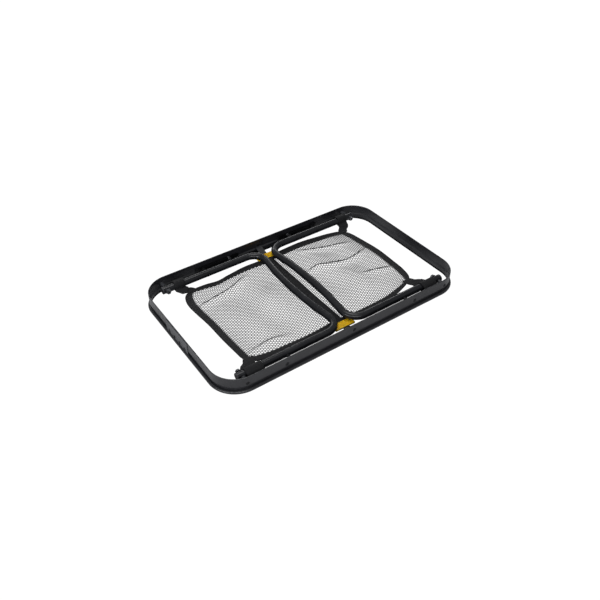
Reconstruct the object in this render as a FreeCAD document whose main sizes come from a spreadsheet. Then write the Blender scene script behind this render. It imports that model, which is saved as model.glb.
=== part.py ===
"""Folding rack: a formed steel rim, two U legs that fold flat inside it, four folding braces and a net.

It is modelled folded and legs up, as it is stored: the rim's bead is down, at z = 0.
X runs along the rack, Y across it, Z up, and the origin is under the middle of the rim.
"""
import FreeCAD, Part
import math
import os
import Sketcher

doc = FreeCAD.newDocument("FoldingRack")

# ---------------------------------------------------------------- driving dimensions, mm and degrees
DRIVING = {
    # rim: one strip of sheet, roll formed, bent to a rounded rectangle and butted on a short side
    "rim_length": 700.0,
    "rim_width": 428.0,
    "rim_height": 43.5,
    "rim_corner": 67.0,
    "sheet_wall": 1.2,
    "hem_depth": 6.0,
    "groove_depth": 3.0,
    "bead_radius": 4.35,
    "bead_reach": 5.0,
    "foot_reach": 2.0,
    "seam_gap": 0.8,
    # plate and rivets over the butt joint
    "joint_centre": 9.5,
    "joint_plate_length": 108.0,
    "joint_plate_margin": 2.5,
    "joint_plate_wall": 1.2,
    "joint_plate_gap": 0.4,
    "joint_rivet_pitch": 25.6,
    "joint_rivet_rise": 5.9,
    # legs
    "tube_radius": 9.5,
    "tube_wall": 1.2,
    "bend_radius": 38.0,
    "arm_gap": 20.3,
    "pivot_inset": 58.0,
    "pivot_height": 24.5,
    "stub_length": 10.0,
    "crossbar_offset": 18.5,
    "crossbar_bow": 10.5,
    "plug_flange": 2.0,
    "plug_depth": 10.0,
    # pivots
    "bolt_radius": 3.0,
    "running_fit": 0.05,
    "side_gap": 0.3,
    "spacer_wall": 3.0,
    "washer_radius": 7.0,
    "washer_wall": 1.5,
    "nut_across_flats": 10.0,
    "nut_height": 5.0,
    "bolt_spare": 1.0,
    # braces
    "rail_reach": 101.5,
    "arm_reach": 117.0,
    "open_angle": 105.0,
    "link_width": 11.0,
    "link_wall": 2.0,
    "link_gap": 3.0,
    "hem_clearance": 0.5,
    "link_to_groove": 0.2,
    "finger_length": 26.0,
    "rivet_radius": 2.5,
    "half_rivet_height": 1.2,
    # rivet heads
    "head_radius": 5.0,
    "head_height": 2.0,
    "joint_head_radius": 4.5,
    # net and its webbing
    "net_drop": 3.0,
    "net_wall": 1.0,
    "net_end_gap": 82.0,
    "net_side_gap": 25.0,
    "binding_width": 18.0,
    "binding_wall": 2.4,
    "band_width": 24.0,
    "band_wall": 1.5,
    "strap_wall": 1.5,
    "strap_width": 28.0,
    "strap_start": 14.0,
    "strap_root": 16.0,
    # net clips and the tabs that carry them
    "clip_length": 57.0,
    "clip_depth": 20.0,
    "clip_height": 5.0,
    "clip_gap": 0.5,
    "clip_to_rail": 31.8,
    "slot_clearance": 0.4,
    "tab_width": 18.0,
    "tab_wall": 1.5,
    "tab_rise": 8.0,
    "tab_rivet_rise": 2.5,
    "tab_grip": 5.0,
}
sheet = doc.addObject("Spreadsheet::Sheet", "Sizes")
for row, (alias, number) in enumerate(DRIVING.items(), start=1):
    sheet.set(f"A{row}", alias)
    sheet.set(f"B{row}", str(number))
    sheet.setAlias(f"B{row}", alias)
doc.recompute()


class Size:
    """A length worked out from the sheet: its number now, and the expression that keeps it."""

    def __init__(self, number, text):
        self.number = number
        self.text = text

    def __add__(self, other):
        other = as_size(other)
        return Size(self.number + other.number, f"({self.text} + {other.text})")

    def __sub__(self, other):
        other = as_size(other)
        return Size(self.number - other.number, f"({self.text} - {other.text})")

    def __mul__(self, other):
        other = as_size(other)
        return Size(self.number * other.number, f"({self.text} * {other.text})")

    def __truediv__(self, other):
        other = as_size(other)
        return Size(self.number / other.number, f"({self.text} / {other.text})")

    def __neg__(self):
        return Size(-self.number, f"(-1 * {self.text})")

    def __rsub__(self, other):
        return as_size(other) - self

    __radd__ = __add__
    __rmul__ = __mul__


def as_size(value):
    return value if isinstance(value, Size) else Size(float(value), repr(float(value)))


def root(value):
    return Size(math.sqrt(value.number), f"sqrt({value.text})")


def cosine(value):
    return Size(math.cos(math.radians(value.number)), f"cos({value.text} * 1 deg)")


def arc_sine(value):
    return Size(math.degrees(math.asin(value.number)), f"asin({value.text})")


def not_below_zero(value):
    return Size(max(value.number, 0.0), f"max({value.text}; 0)")


d = {alias: Size(number, f"Sizes.{alias}") for alias, number in DRIVING.items()}

# ---------------------------------------------------------------- shared places, each worked out once
half_length = d["rim_length"] / 2
half_width = d["rim_width"] / 2
rail_inner = half_width - d["sheet_wall"]
bead_top = 2 * d["bead_radius"]
web_outer = d["groove_depth"]
web_inner = d["groove_depth"] + d["sheet_wall"]
groove_top = d["pivot_height"] - d["link_width"] / 2 - d["link_to_groove"]
drill_run = 4 * d["sheet_wall"]
joint_plate_floor = bead_top + d["joint_plate_gap"]
joint_rivet_z = joint_plate_floor + d["joint_rivet_rise"]

arm_y = rail_inner - d["arm_gap"] - d["tube_radius"]
arm_outer = arm_y + d["tube_radius"]
arm_inner = arm_y - d["tube_radius"]
pivot_x = half_length - d["pivot_inset"]
pivot_z = d["pivot_height"]
tab_rivet_z = pivot_z + d["tab_rivet_rise"]

rail_rivet_x = pivot_x - d["rail_reach"]
arm_rivet_x = pivot_x - d["arm_reach"]
brace_span = root(d["rail_reach"] * d["rail_reach"] + d["arm_reach"] * d["arm_reach"]
                  - 2 * d["rail_reach"] * d["arm_reach"] * cosine(d["open_angle"]))
rail_link_length = (brace_span + d["arm_reach"] - d["rail_reach"]) / 2
leg_link_length = (brace_span - d["arm_reach"] + d["rail_reach"]) / 2
knuckle_x = rail_rivet_x - rail_link_length
rail_link_outer = rail_inner - d["sheet_wall"] - d["hem_clearance"] - d["half_rivet_height"]
rail_link_inner = rail_link_outer - d["link_wall"]
leg_link_outer = rail_link_inner - d["link_gap"]
leg_link_inner = leg_link_outer - d["link_wall"]

net_z = pivot_z - d["tube_radius"] - d["net_drop"]
net_end = half_length - d["net_end_gap"]
net_side = arm_inner + d["tube_radius"] - d["net_side_gap"]
mesh_end = net_end - d["binding_width"]
mesh_side = net_side - d["binding_width"]
half_band = d["band_width"] / 2
clip_middle = rail_inner - d["clip_to_rail"] - d["clip_depth"] / 2
clip_floor = pivot_z - d["tube_radius"] - d["clip_gap"] - d["clip_height"]
slot_height = d["tab_wall"] + 2 * d["slot_clearance"]
slot_floor = net_z - slot_height / 2

SIDES = {"left": -1, "right": 1}
RAILS = {"front": -1, "rear": 1}
nodes = []


# ---------------------------------------------------------------- how the pieces are made
def bind(obj, **lengths):
    """Ties properties to sizes; a double underscore in a name stands for a dot."""
    for name, value in lengths.items():
        obj.setExpression(name.replace("__", "."), as_size(value).text)


def place(obj, x=0.0, y=0.0, z=0.0):
    bind(obj, Placement__Base__x=x, Placement__Base__y=y, Placement__Base__z=z)


TURNS = {
    "+X": FreeCAD.Rotation(FreeCAD.Vector(0, 1, 0), 90),
    "-X": FreeCAD.Rotation(FreeCAD.Vector(0, 1, 0), -90),
    "+Y": FreeCAD.Rotation(FreeCAD.Vector(1, 0, 0), -90),
    "-Y": FreeCAD.Rotation(FreeCAD.Vector(1, 0, 0), 90),
}


def block(name, x, y, z):
    """A box between two values on each axis."""
    obj = doc.addObject("Part::Box", name)
    bind(obj, Length=x[1] - x[0], Width=y[1] - y[0], Height=z[1] - z[0])
    place(obj, x[0], y[0], z[0])
    return obj


def rod(name, radius, length, way, x, y, z):
    """A cylinder that starts at a point and runs along way."""
    obj = doc.addObject("Part::Cylinder", name)
    bind(obj, Radius=radius, Height=length)
    obj.Placement = FreeCAD.Placement(FreeCAD.Vector(), TURNS[way])
    place(obj, x, y, z)
    return obj


def dome(name, radius, height, way, x, y, z):
    """A rivet head: a cap of a ball, flat side at the point, crown along way."""
    ball = (radius * radius + height * height) / (2 * height)
    sink = ball - height
    obj = doc.addObject("Part::Sphere", name)
    bind(obj, Radius=ball, Angle1=arc_sine(sink / ball))
    obj.Placement = FreeCAD.Placement(FreeCAD.Vector(), TURNS[way])
    sign = -1 if way[0] == "+" else 1
    shift = sink * sign
    place(obj, x + shift if way[1] == "X" else x, y + shift if way[1] == "Y" else y, z)
    return obj


def joined(name, parts):
    obj = doc.addObject("Part::MultiFuse", name)
    obj.Shapes = parts
    return obj


def cut(name, base, tool):
    obj = doc.addObject("Part::Cut", name)
    obj.Base = base
    obj.Tool = tool
    return obj


def group(name, parts):
    obj = doc.addObject("Part::Compound", name)
    obj.Links = parts
    return obj


def node(label, obj):
    """Names a finished sub-part; the label is also its file name."""
    obj.Label = label
    nodes.append(obj)
    return obj


def body_with_sketch(name, plane):
    body = doc.addObject("PartDesign::Body", name)
    return body, sketch_on(body, name + "Outline", plane)


def sketch_on(body, name, plane):
    sketch = body.newObject("Sketcher::SketchObject", name)
    origin = [f for f in body.Origin.OriginFeatures if f.Role == plane][0]
    sketch.AttachmentSupport = [(origin, "")]
    sketch.MapMode = "FlatFace"
    return sketch


def pin_point(sketch, edge, end, x, y):
    """Holds one end of an edge at a place; an axis holds it where the place is zero."""
    for kind, value, axis in (("DistanceX", as_size(x), -2), ("DistanceY", as_size(y), -1)):
        if abs(value.number) < 1e-9:
            sketch.addConstraint(Sketcher.Constraint("PointOnObject", edge, end, axis))
        else:
            index = sketch.addConstraint(Sketcher.Constraint(kind, edge, end, value.number))
            sketch.setExpression(f"Constraints[{index}]", value.text)


def outline(sketch, corners, closed=True):
    """Draws lines and arcs through corners (x, y, arc).

    arc is None for a straight edge to the next corner, or (centre x, centre y, radius, +1 or -1),
    where +1 turns anticlockwise.
    """
    count = len(corners) if closed else len(corners) - 1
    ends = []
    for i in range(count):
        x0, y0, arc = corners[i]
        x1, y1 = corners[(i + 1) % len(corners)][:2]
        a = FreeCAD.Vector(as_size(x0).number, as_size(y0).number, 0)
        b = FreeCAD.Vector(as_size(x1).number, as_size(y1).number, 0)
        if arc is None:
            edge = sketch.addGeometry(Part.LineSegment(a, b))
            ends.append((edge, 1, 2))
        else:
            centre = FreeCAD.Vector(as_size(arc[0]).number, as_size(arc[1]).number, 0)
            radius = as_size(arc[2])
            first, last = (a, b) if arc[3] > 0 else (b, a)
            angles = [math.atan2(p.y - centre.y, p.x - centre.x) for p in (first, last)]
            circle = Part.Circle(centre, FreeCAD.Vector(0, 0, 1), radius.number)
            edge = sketch.addGeometry(Part.ArcOfCircle(circle, angles[0], angles[1]))
            ends.append((edge, 1, 2) if arc[3] > 0 else (edge, 2, 1))
            index = sketch.addConstraint(Sketcher.Constraint("Radius", edge, radius.number))
            sketch.setExpression(f"Constraints[{index}]", radius.text)
    for i in range(count):
        edge, start, stop = ends[i]
        pin_point(sketch, edge, start, corners[i][0], corners[i][1])
        if closed or i < count - 1:
            follower = ends[(i + 1) % count]
            sketch.addConstraint(Sketcher.Constraint("Coincident", edge, stop, follower[0], follower[1]))
        else:
            pin_point(sketch, edge, stop, corners[i + 1][0], corners[i + 1][1])


def ring(sketch, x, y, radius):
    """A circle in a sketch, held by its centre and radius."""
    centre = FreeCAD.Vector(as_size(x).number, as_size(y).number, 0)
    edge = sketch.addGeometry(Part.Circle(centre, FreeCAD.Vector(0, 0, 1), radius.number))
    pin_point(sketch, edge, 3, x, y)
    index = sketch.addConstraint(Sketcher.Constraint("Radius", edge, radius.number))
    sketch.setExpression(f"Constraints[{index}]", radius.text)


def pad(body, sketch, length):
    """A pad of the sketch, half its length to each side of the sketch's plane."""
    feature = body.newObject("PartDesign::Pad", body.Name + "Pad")
    feature.Profile = sketch
    feature.SideType = "Symmetric"
    feature.setExpression("Length", length.text)
    return feature


def pipe(body, spine, profile):
    feature = body.newObject("PartDesign::AdditivePipe", body.Name + "Pipe")
    feature.Profile = profile
    feature.Spine = spine
    return feature


# ---------------------------------------------------------------- rim
def rim():
    """A formed strip swept round the rack: flat wall, pressed groove, and a rolled bead to stand on."""
    body, spine = body_with_sketch("RimStrip", "XY_Plane")
    r = d["rim_corner"]
    outline(spine, [
        (0, -half_width, None),
        (half_length - r, -half_width, (half_length - r, r - half_width, r, 1)),
        (half_length, r - half_width, None),
        (half_length, half_width - r, (half_length - r, half_width - r, r, 1)),
        (half_length - r, half_width, None),
        (r - half_length, half_width, (r - half_length, half_width - r, r, 1)),
        (-half_length, half_width - r, None),
        (-half_length, r - half_width, (r - half_length, r - half_width, r, 1)),
        (r - half_length, -half_width, None),
    ])
    profile = sketch_on(body, "RimProfile", "YZ_Plane")
    t = d["sheet_wall"]
    top = d["rim_height"]
    bead = d["bead_radius"]
    bead_y = bead - d["bead_reach"] - half_width
    wall = -half_width
    slant = 0.4 * t
    outline(profile, [
        (wall, groove_top, None),
        (wall, top - t, (wall + t, top - t, t, -1)),
        (wall + t, top, (wall + t, top - t, t, -1)),
        (wall + 2 * t, top - t, None),
        (wall + 2 * t, top - d["hem_depth"], None),
        (wall + t, top - d["hem_depth"], None),
        (wall + t, groove_top + slant, None),
        (wall + web_inner, groove_top - d["groove_depth"] + slant, None),
        (wall + web_inner, bead_top - t, None),
        (bead_y, bead_top - t, (bead_y, bead, bead - t, 1)),
        (bead_y - bead + t, bead, (bead_y, bead, bead - t, 1)),
        (bead_y, t, None),
        (wall + d["foot_reach"], t, None),
        (wall + d["foot_reach"], 0, None),
        (bead_y, 0, (bead_y, bead, bead, -1)),
        (bead_y - bead, bead, (bead_y, bead, bead, -1)),
        (bead_y, bead_top, None),
        (wall + web_outer, bead_top, None),
        (wall + web_outer, groove_top - d["groove_depth"], None),
    ])
    pipe(body, spine, profile)
    half_gap = d["seam_gap"] / 2
    seam = block("RimSeam", (-half_length - 2 * d["bead_reach"], -half_length + 2 * web_inner),
                 (d["joint_centre"] - half_gap, d["joint_centre"] + half_gap),
                 (as_size(-1), top + 1))
    drills = [seam]
    for side, sx in SIDES.items():
        for rail, sy in RAILS.items():
            way = "+Y" if sy > 0 else "-Y"
            start = (rail_inner - drill_run) * sy
            for what, x, radius in (("Pivot", pivot_x, d["bolt_radius"]),
                                    ("Brace", rail_rivet_x, d["rivet_radius"])):
                drills.append(rod(f"Rim{what}Hole_{side}_{rail}", radius, 2 * drill_run, way,
                                  x * sx, start, pivot_z))
    for rail, sy in RAILS.items():
        way = "+Y" if sy > 0 else "-Y"
        drills.append(rod(f"RimTabHole_{rail}", d["rivet_radius"], 2 * drill_run, way,
                          as_size(0), (rail_inner - drill_run) * sy, tab_rivet_z))
    for i in range(4):
        drills.append(rod(f"RimJointHole{i}", d["rivet_radius"], 2 * drill_run, "-X",
                          web_inner + drill_run - half_length, joint_rivet_y(i), joint_rivet_z))
    return node("rim", cut("Rim", body, joined("RimDrills", drills)))


def wall_at(x, corner_radius):
    """How far out the wall's face of that corner radius lies at a place along the rack."""
    run = not_below_zero(x - (half_length - d["rim_corner"]))
    return half_width - d["rim_corner"] + root(corner_radius * corner_radius - run * run)


def joint_rivet_y(i):
    return d["joint_centre"] + d["joint_rivet_pitch"] * (i - 1.5)


def joint_plate():
    """A flat plate laid over the butt joint and the groove, held by four rivets in a row."""
    half = d["joint_plate_length"] / 2
    plate = block("JointPlateBlank", (-half_length - d["joint_plate_wall"], -half_length),
                  (d["joint_centre"] - half, d["joint_centre"] + half),
                  (joint_plate_floor, d["rim_height"] - d["joint_plate_margin"]))
    holes = []
    rivets = []
    outside = -half_length - d["joint_plate_wall"]
    inside = web_inner - half_length
    for i in range(4):
        y = joint_rivet_y(i)
        z = joint_rivet_z
        holes.append(rod(f"JointPlateHole{i}", d["rivet_radius"], d["joint_plate_wall"] + 2, "-X",
                         1 - half_length, y, z))
        head = dome(f"JointHead{i}", d["joint_head_radius"], d["head_height"], "-X", outside, y, z)
        tail = dome(f"JointTail{i}", d["joint_head_radius"], d["half_rivet_height"], "+X", inside, y, z)
        shank = rod(f"JointShank{i}", d["rivet_radius"], inside - outside, "+X", outside, y, z)
        rivets.append(joined(f"JointRivet{i}", [head, shank, tail]))
    node("joint_plate", cut("JointPlate", plate, joined("JointPlateHoles", holes)))
    node("joint_rivets", group("JointRivets", rivets))


# ---------------------------------------------------------------- legs
def leg(side, sx):
    """A U of round tube: two arms beside the rails, two bends and a crossbar near the middle.

    The crossbar is bowed toward its own pivots: one wide arc that runs on from the bends.
    """
    body, spine = body_with_sketch(f"Leg_{side}", "XY_Plane")
    stub_x = pivot_x + d["stub_length"]
    r = d["bend_radius"]
    bow = d["crossbar_bow"]
    bend_x = d["crossbar_offset"] + r
    bend_y = arm_y - r
    bow_radius = ((r - bow) * (r - bow) + bend_y * bend_y - r * r) / (2 * bow)
    bow_x = d["crossbar_offset"] + bow - bow_radius
    share = r / (bow_radius + r)
    join_x = bend_x - (bend_x - bow_x) * share
    join_y = bend_y - bend_y * share
    outline(spine, [
        (stub_x * sx, -arm_y, None),
        (bend_x * sx, -arm_y, (bend_x * sx, -bend_y, r, -sx)),
        (join_x * sx, -join_y, (bow_x * sx, 0, bow_radius, sx)),
        (join_x * sx, join_y, (bend_x * sx, bend_y, r, -sx)),
        (bend_x * sx, arm_y, None),
        (stub_x * sx, arm_y, None),
    ], closed=False)
    profile = sketch_on(body, f"Leg_{side}Section", "YZ_Plane")
    bind(profile, AttachmentOffset__Base__z=stub_x * sx)
    ring(profile, -arm_y, 0, d["tube_radius"])
    ring(profile, -arm_y, 0, d["tube_radius"] - d["tube_wall"])
    pipe(body, spine, profile)
    place(body, z=pivot_z)
    drills = []
    plugs = []
    loops = []
    rivets = []
    for rail, sy in RAILS.items():
        way, back = ("+Y", "-Y") if sy > 0 else ("-Y", "+Y")
        tag = f"{side}_{rail}"
        across = 2 * d["tube_radius"] + 2
        drills.append(rod(f"PivotHole_{tag}", d["bolt_radius"] + d["running_fit"], across, way,
                          pivot_x * sx, (arm_inner - 1) * sy, pivot_z))
        drills.append(rod(f"BraceHole_{tag}", d["rivet_radius"], across, way,
                          arm_rivet_x * sx, (arm_inner - 1) * sy, pivot_z))
        along = "+X" if sx > 0 else "-X"
        flange = rod(f"PlugFlange_{tag}", d["tube_radius"], d["plug_flange"], along,
                     stub_x * sx, arm_y * sy, pivot_z)
        core = rod(f"PlugCore_{tag}", d["tube_radius"] - d["tube_wall"],
                   d["plug_depth"] - d["bolt_radius"] - 1, along,
                   (stub_x - d["plug_depth"] + d["bolt_radius"] + 1) * sx, arm_y * sy, pivot_z)
        plugs.append(joined(f"Plug_{tag}", [flange, core]))
        loop_start = (pivot_x - d["strap_start"]) * sx
        toward = "-X" if sx > 0 else "+X"
        sleeve = rod(f"LoopOuter_{tag}", d["tube_radius"] + d["strap_wall"], d["strap_width"], toward,
                     loop_start, arm_y * sy, pivot_z)
        bore = rod(f"LoopInner_{tag}", d["tube_radius"], d["strap_width"], toward,
                   loop_start, arm_y * sy, pivot_z)
        loops.append(cut(f"Loop_{tag}", sleeve, bore))
        rivets.append(arm_rivet(tag, sx, sy, way, back))
    node(f"{side}_leg_tube", cut(f"LegTube_{side}", body, joined(f"LegDrills_{side}", drills)))
    node(f"{side}_leg_plugs", group(f"LegPlugs_{side}", plugs))
    node(f"{side}_strap_loops", group(f"StrapLoops_{side}", loops))
    node(f"{side}_arm_rivets", group(f"ArmRivets_{side}", rivets))


def arm_rivet(tag, sx, sy, way, back):
    """A shouldered rivet through the arm, long enough to hold the brace beside the rail."""
    x = arm_rivet_x * sx
    head = dome(f"ArmRivetHead_{tag}", d["head_radius"], d["half_rivet_height"], back,
                x, arm_inner * sy, pivot_z)
    shank = rod(f"ArmRivetShank_{tag}", d["rivet_radius"],
                leg_link_outer + d["side_gap"] - arm_inner, way, x, arm_inner * sy, pivot_z)
    collar = rod(f"ArmRivetCollar_{tag}", d["rivet_radius"] + d["spacer_wall"] / 2,
                 leg_link_inner - d["side_gap"] - arm_outer, way, x, arm_outer * sy, pivot_z)
    tail = dome(f"ArmRivetTail_{tag}", d["head_radius"], d["half_rivet_height"], way,
                x, (leg_link_outer + d["side_gap"]) * sy, pivot_z)
    return joined(f"ArmRivet_{tag}", [head, shank, collar, tail])


# ---------------------------------------------------------------- pivots of the legs
def pivots(rim_strip):
    """At each pivot a bolt runs from outside the rail through a spacer and the arm to a nut.

    The rim's corner has begun to turn here, so the heads and the spacers are cut to its faces.
    """
    spacer_radius = d["bolt_radius"] + d["spacer_wall"]
    head_seat = wall_at(pivot_x + d["head_radius"] / 2, d["rim_corner"])
    spacer_end = wall_at(pivot_x + spacer_radius, d["rim_corner"] - d["running_fit"])
    bolts = []
    spacers = []
    washers = []
    nuts = []
    washer_y = arm_inner - d["side_gap"] - d["washer_wall"]
    nut_y = washer_y - d["nut_height"]
    for side, sx in SIDES.items():
        for rail, sy in RAILS.items():
            way, back = ("+Y", "-Y") if sy > 0 else ("-Y", "+Y")
            tag = f"{side}_{rail}"
            x = pivot_x * sx
            head = dome(f"BoltHead_{tag}", d["head_radius"], d["head_height"], way,
                        x, head_seat * sy, pivot_z)
            shank = rod(f"BoltShank_{tag}", d["bolt_radius"], head_seat - nut_y + d["bolt_spare"], back,
                        x, head_seat * sy, pivot_z)
            bolts.append(joined(f"Bolt_{tag}", [head, shank]))
            spacers.append(tube(f"Spacer_{tag}", spacer_radius, spacer_end - arm_outer - d["side_gap"], way,
                                x, (arm_outer + d["side_gap"]) * sy))
            washers.append(tube(f"Washer_{tag}", d["washer_radius"], d["washer_wall"], way,
                                x, washer_y * sy))
            nuts.append(hex_nut(f"Nut_{tag}", sy, x, nut_y))
    node("pivot_bolts", cut("PivotBolts", group("PivotBoltBlanks", bolts), rim_strip))
    node("pivot_spacers", cut("PivotSpacers", group("PivotSpacerBlanks", spacers), rim_strip))
    node("pivot_washers", group("PivotWashers", washers))
    node("pivot_nuts", group("PivotNuts", nuts))


def tube(name, radius, length, way, x, y):
    """A sleeve or washer that fits the pivot bolt."""
    solid = rod(name + "Blank", radius, length, way, x, y, pivot_z)
    bore = rod(name + "Bore", d["bolt_radius"], length, way, x, y, pivot_z)
    return cut(name, solid, bore)


def hex_nut(name, sy, x, y):
    blank = doc.addObject("Part::Prism", name + "Blank")
    blank.Polygon = 6
    bind(blank, Circumradius=d["nut_across_flats"] / math.sqrt(3), Height=d["nut_height"])
    way = "+Y" if sy > 0 else "-Y"
    blank.Placement = FreeCAD.Placement(FreeCAD.Vector(), TURNS[way])
    place(blank, x, y * sy, pivot_z)
    bore = rod(name + "Bore", d["bolt_radius"], d["nut_height"], way, x, y * sy, pivot_z)
    return cut(name, blank, bore)


# ---------------------------------------------------------------- folding braces
def link(label, length, finger, middle_y, x, sx, sy):
    """A flat steel link with round ends and two holes; finger runs past the knuckle."""
    body, sketch = body_with_sketch("Link_" + label, "XZ_Plane")
    r = d["link_width"] / 2
    far = (length + finger) * -sx
    outline(sketch, [
        (as_size(0), r, (0, 0, r, -sx)),
        (r * sx, 0, (0, 0, r, -sx)),
        (as_size(0), -r, None),
        (far, -r, (far, 0, r, -sx)),
        (far - r * sx, 0, (far, 0, r, -sx)),
        (far, r, None),
    ])
    hole = d["rivet_radius"] + d["running_fit"]
    ring(sketch, 0, 0, hole)
    ring(sketch, length * -sx, 0, d["rivet_radius"])
    pad(body, sketch, d["link_wall"])
    place(body, x * sx, middle_y * sy, pivot_z)
    return node(label, body)


def half_rivet(name, sx, sy, inner, outer):
    """The knuckle rivet is split between the two links, so that either can be turned alone."""
    out, back = ("+Y", "-Y") if sy > 0 else ("-Y", "+Y")
    x = knuckle_x * sx
    core = rod(name + "Core", d["rivet_radius"], outer - inner, out, x, inner * sy, pivot_z)
    crown = dome(name + "Crown", d["head_radius"], d["half_rivet_height"], out, x, outer * sy, pivot_z)
    foot = dome(name + "Foot", d["head_radius"], d["half_rivet_height"], back, x, inner * sy, pivot_z)
    return joined(name, [core, crown, foot])


def braces():
    rail_rivets = []
    for side, sx in SIDES.items():
        for rail, sy in RAILS.items():
            tag = f"{side}_{rail}"
            link(f"rail_link_{tag}", rail_link_length, d["finger_length"],
                 (rail_link_outer + rail_link_inner) / 2, rail_rivet_x, sx, sy)
            link(f"leg_link_{tag}", leg_link_length, as_size(0),
                 (leg_link_outer + leg_link_inner) / 2, arm_rivet_x, sx, sy)
            node(f"knuckle_outer_{tag}", half_rivet(f"KnuckleOuter_{tag}", sx, sy,
                                                    rail_link_inner, rail_link_outer))
            node(f"knuckle_inner_{tag}", half_rivet(f"KnuckleInner_{tag}", sx, sy,
                                                    leg_link_inner, leg_link_outer))
            out, back = ("+Y", "-Y") if sy > 0 else ("-Y", "+Y")
            x = rail_rivet_x * sx
            tail_y = rail_link_inner - d["side_gap"]
            head = dome(f"RailRivetHead_{tag}", d["head_radius"], d["head_height"], out,
                        x, half_width * sy, pivot_z)
            shank = rod(f"RailRivetShank_{tag}", d["rivet_radius"], half_width - tail_y, back,
                        x, half_width * sy, pivot_z)
            collar = rod(f"RailRivetCollar_{tag}", d["rivet_radius"] + d["spacer_wall"] / 2,
                         rail_inner - rail_link_outer - d["side_gap"], back, x, rail_inner * sy, pivot_z)
            tail = dome(f"RailRivetTail_{tag}", d["head_radius"], d["half_rivet_height"], back,
                        x, tail_y * sy, pivot_z)
            rail_rivets.append(joined(f"RailRivet_{tag}", [head, shank, collar, tail]))
    node("rail_rivets", group("RailRivets", rail_rivets))


# ---------------------------------------------------------------- net, webbing and clips
def net():
    """Two mesh panels bound with webbing, a centre band between them, and a strap at each corner."""
    middle = net_z
    for side, sx in SIDES.items():
        def span(a, b):
            return (a * sx, b * sx) if sx > 0 else (b * sx, a * sx)
        panel = block(f"NetPanel_{side}", span(half_band, mesh_end), (-mesh_side, mesh_side),
                      (middle - d["net_wall"] / 2, middle + d["net_wall"] / 2))
        node(f"net_panel_{side}", panel)
        outer = block(f"BindingOuter_{side}", span(half_band, net_end), (-net_side, net_side),
                      (middle - d["binding_wall"] / 2, middle + d["binding_wall"] / 2))
        inner = block(f"BindingInner_{side}", span(half_band - 1, mesh_end), (-mesh_side, mesh_side),
                      (middle - d["binding_wall"], middle + d["binding_wall"]))
        node(f"net_binding_{side}", cut(f"NetBinding_{side}", outer, inner))
        for rail, sy in RAILS.items():
            corner_strap(side, rail, sx, sy)
    reach = clip_middle
    node("centre_band", block("CentreBand", (-half_band, half_band), (-reach, reach),
                              (middle - d["band_wall"] / 2, middle + d["band_wall"] / 2)))


def corner_strap(side, rail, sx, sy):
    """The free part of a corner strap, from the net's corner to under the loop on the arm."""
    body, sketch = body_with_sketch(f"Strap_{side}_{rail}", "XY_Plane")
    loop_near = pivot_x - d["strap_start"]
    loop_far = loop_near - d["strap_width"]
    root_x = net_end - d["strap_root"]
    root_y = net_side - d["strap_root"]
    corners = [
        (root_x * sx, net_side * sy, None),
        (net_end * sx, net_side * sy, None),
        (net_end * sx, root_y * sy, None),
        (loop_near * sx, (arm_y - d["tube_radius"] / 2) * sy, None),
        (loop_near * sx, arm_y * sy, None),
        (loop_far * sx, arm_y * sy, None),
    ]
    outline(sketch, corners)
    pad(body, sketch, d["strap_wall"])
    place(body, z=net_z)
    node(f"corner_strap_{side}_{rail}", body)


def clips():
    """At each rail a riveted tab reaches down to a ribbed plastic clip that ends the centre band."""
    rivets = []
    for rail, sy in RAILS.items():
        out, back = ("+Y", "-Y") if sy > 0 else ("-Y", "+Y")
        half = d["clip_length"] / 2
        inner = (clip_middle - d["clip_depth"] / 2) * sy
        outer = (clip_middle + d["clip_depth"] / 2) * sy
        y = (inner, outer) if sy > 0 else (outer, inner)
        blank = block(f"ClipBlank_{rail}", (-half, half), y, (clip_floor, clip_floor + d["clip_height"]))
        half_slot = half_band + d["slot_clearance"]
        slot = block(f"ClipSlot_{rail}", (-half_slot, half_slot), (y[0] - 1, y[1] + 1),
                     (slot_floor, slot_floor + slot_height))
        node(f"net_clip_{rail}", cut(f"NetClip_{rail}", blank, slot))
        tab(rail, sy)
        leaf_y = rail_inner - d["tab_wall"]
        head = dome(f"TabRivetHead_{rail}", d["head_radius"], d["head_height"], out,
                    as_size(0), half_width * sy, tab_rivet_z)
        shank = rod(f"TabRivetShank_{rail}", d["rivet_radius"], half_width - leaf_y, back,
                    as_size(0), half_width * sy, tab_rivet_z)
        tail = dome(f"TabRivetTail_{rail}", d["head_radius"], d["half_rivet_height"], back,
                    as_size(0), leaf_y * sy, tab_rivet_z)
        rivets.append(joined(f"TabRivet_{rail}", [head, shank, tail]))
    node("tab_rivets", group("TabRivets", rivets))


def tab(rail, sy):
    """A bent strip: a leaf riveted to the rail, a slope over the groove, and a tongue in the clip."""
    body, sketch = body_with_sketch(f"Tab_{rail}", "YZ_Plane")
    t = d["tab_wall"]
    low = net_z - t / 2
    tongue = clip_middle + d["tab_grip"]
    bend = clip_middle + d["clip_depth"] / 2 + t
    shoulder = groove_top + d["sheet_wall"]
    leaf = rail_inner - t
    outline(sketch, [
        (rail_inner * sy, pivot_z + d["tab_rise"], None),
        (leaf * sy, pivot_z + d["tab_rise"], None),
        (leaf * sy, shoulder + t, None),
        (bend * sy, low + t, None),
        (tongue * sy, low + t, None),
        (tongue * sy, low, None),
        (bend * sy, low, None),
        (rail_inner * sy, shoulder, None),
    ])
    pad(body, sketch, d["tab_width"])
    hole = rod(f"TabHole_{rail}", d["rivet_radius"], t + 2, "+Y" if sy > 0 else "-Y",
               as_size(0), (leaf - 1) * sy, tab_rivet_z)
    node(f"tab_{rail}", cut(f"NetTab_{rail}", body, hole))


# ---------------------------------------------------------------- build, check and write
rim_strip = rim()
joint_plate()
for side_name, side_sign in SIDES.items():
    leg(side_name, side_sign)
pivots(rim_strip)
braces()
net()
clips()
doc.recompute()

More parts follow.
